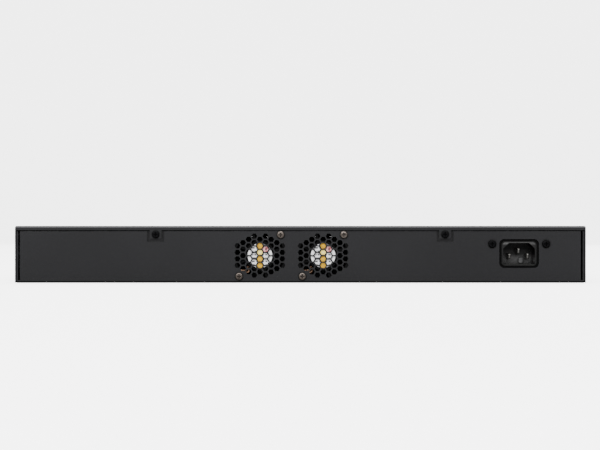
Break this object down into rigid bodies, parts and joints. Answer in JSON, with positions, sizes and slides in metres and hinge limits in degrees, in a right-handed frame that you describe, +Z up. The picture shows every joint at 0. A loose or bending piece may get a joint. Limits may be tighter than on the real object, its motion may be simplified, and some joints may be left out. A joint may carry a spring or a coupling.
{
  "type": "rackmount network switch",
  "caption": "One-unit steel case with network jacks and optical ports in front, and an earthed mains inlet and exhaust fans behind honeycomb grilles at the rear.",
  "frame": {"origin": "on the floor plane, under the middle of the case", "axes": "+X to the right seen from the front, +Y from the front panel to the rear wall, +Z up"},
  "size_m": [0.443, 0.2629, 0.044],
  "materials": {
    "charcoal_paint": "fine-textured charcoal powder coat",
    "front_film": "matt printed film",
    "black_screws": "black oxide",
    "zinc_screws": "zinc plated",
    "nickel_screws": "nickel plated",
    "brass_posts": "machined",
    "board_laminate": "solder mask",
    "black_plastic": "moulded",
    "grey_plastic": "moulded",
    "white_plastic": "moulded",
    "tinned_steel": "tin plated sheet",
    "zinc_steel": "galvanised sheet",
    "gold_contacts": "gold flash",
    "clear_plastic": "frosted clear",
    "chip_resin": "moulded resin",
    "sink_aluminium": "extruded",
    "can_sleeve": "shrunk sleeve",
    "ferrite": "sintered ferrite",
    "inlet_plastic": "moulded",
    "nickel_pins": "nickel plated",
    "lead_sleeve": "wire insulation",
    "fan_plastic": "glass-filled black plastic",
    "winding_copper": "lacquered copper wire",
    "sticker_paper": "coated label stock"
  },
  "bodies": {
    "case": {"board_capacitors": "can_sleeve", "board_chokes": "chip_resin", "board_screws": "zinc_screws", "board_standoffs": "brass_posts", "chassis_base": "charcoal_paint", "console_jack_body": "black_plastic", "console_jack_contacts": "gold_contacts", "cover_rear_screws": "black_screws", "cover_side_screws": "black_screws", "fan_bearings": "nickel_pins", "fan_frame_1": "fan_plastic", "fan_frame_2": "fan_plastic", "fan_headers": "white_plastic", "fan_labels": "sticker_paper", "fan_leads": "lead_sleeve", "fan_screws": "nickel_screws", "fan_stators": "winding_copper", "front_panel": "charcoal_paint", "front_panel_screws": "zinc_screws", "front_skin": "front_film", "inlet_body": "inlet_plastic", "inlet_bracket": "zinc_steel", "inlet_leads": "lead_sleeve", "inlet_pins": "nickel_pins", "inlet_screws": "black_screws", "jack_body_left": "black_plastic", "jack_body_right": "black_plastic", "jack_contacts_left": "gold_contacts", "jack_contacts_right": "gold_contacts", "jack_shell_left": "tinned_steel", "jack_shell_right": "tinned_steel", "light_pipes": "clear_plastic", "main_board": "board_laminate", "memory_chips": "chip_resin", "mode_switch": "black_plastic", "optical_cage": "tinned_steel", "optical_sockets": "black_plastic", "port_chips": "chip_resin", "port_heatsinks": "sink_aluminium", "power_header": "white_plastic", "reset_switch": "black_plastic", "supply_board": "board_laminate", "supply_cable": "lead_sleeve", "supply_capacitors": "can_sleeve", "supply_channel": "zinc_steel", "supply_choke": "ferrite", "supply_cover": "zinc_steel", "supply_heatsinks": "sink_aluminium", "supply_transformer": "ferrite", "switch_chip": "chip_resin", "switch_heatsink": "sink_aluminium", "top_cover": "charcoal_paint"},
    "fan_rotor_1": {"fan_rotor_1": "fan_plastic", "fan_shaft_1": "nickel_pins"},
    "fan_rotor_2": {"fan_rotor_2": "fan_plastic", "fan_shaft_2": "nickel_pins"},
    "mode_button": {"mode_button": "grey_plastic"},
    "reset_button": {"reset_button": "black_plastic"}
  },
  "joints": [
    {"name": "fan_1_spin", "type": "hinge", "parent": "case", "child": "fan_rotor_1", "pos_m": [0.0312, 0.119, 0.0211], "axis": [0, 1, 0], "continuous": true},
    {"name": "fan_2_spin", "type": "hinge", "parent": "case", "child": "fan_rotor_2", "pos_m": [-0.0175, 0.119, 0.0211], "axis": [0, 1, 0], "continuous": true},
    {"name": "mode_press", "type": "slide", "parent": "case", "child": "mode_button", "axis": [0, 1, 0], "range_m": [0, 0.0008], "stiffness_N_per_m": 600, "springref_m": -0.0006},
    {"name": "reset_press", "type": "slide", "parent": "case", "child": "reset_button", "axis": [0, 1, 0], "range_m": [0, 0.0004], "stiffness_N_per_m": 600, "springref_m": -0.0004}
  ]
}
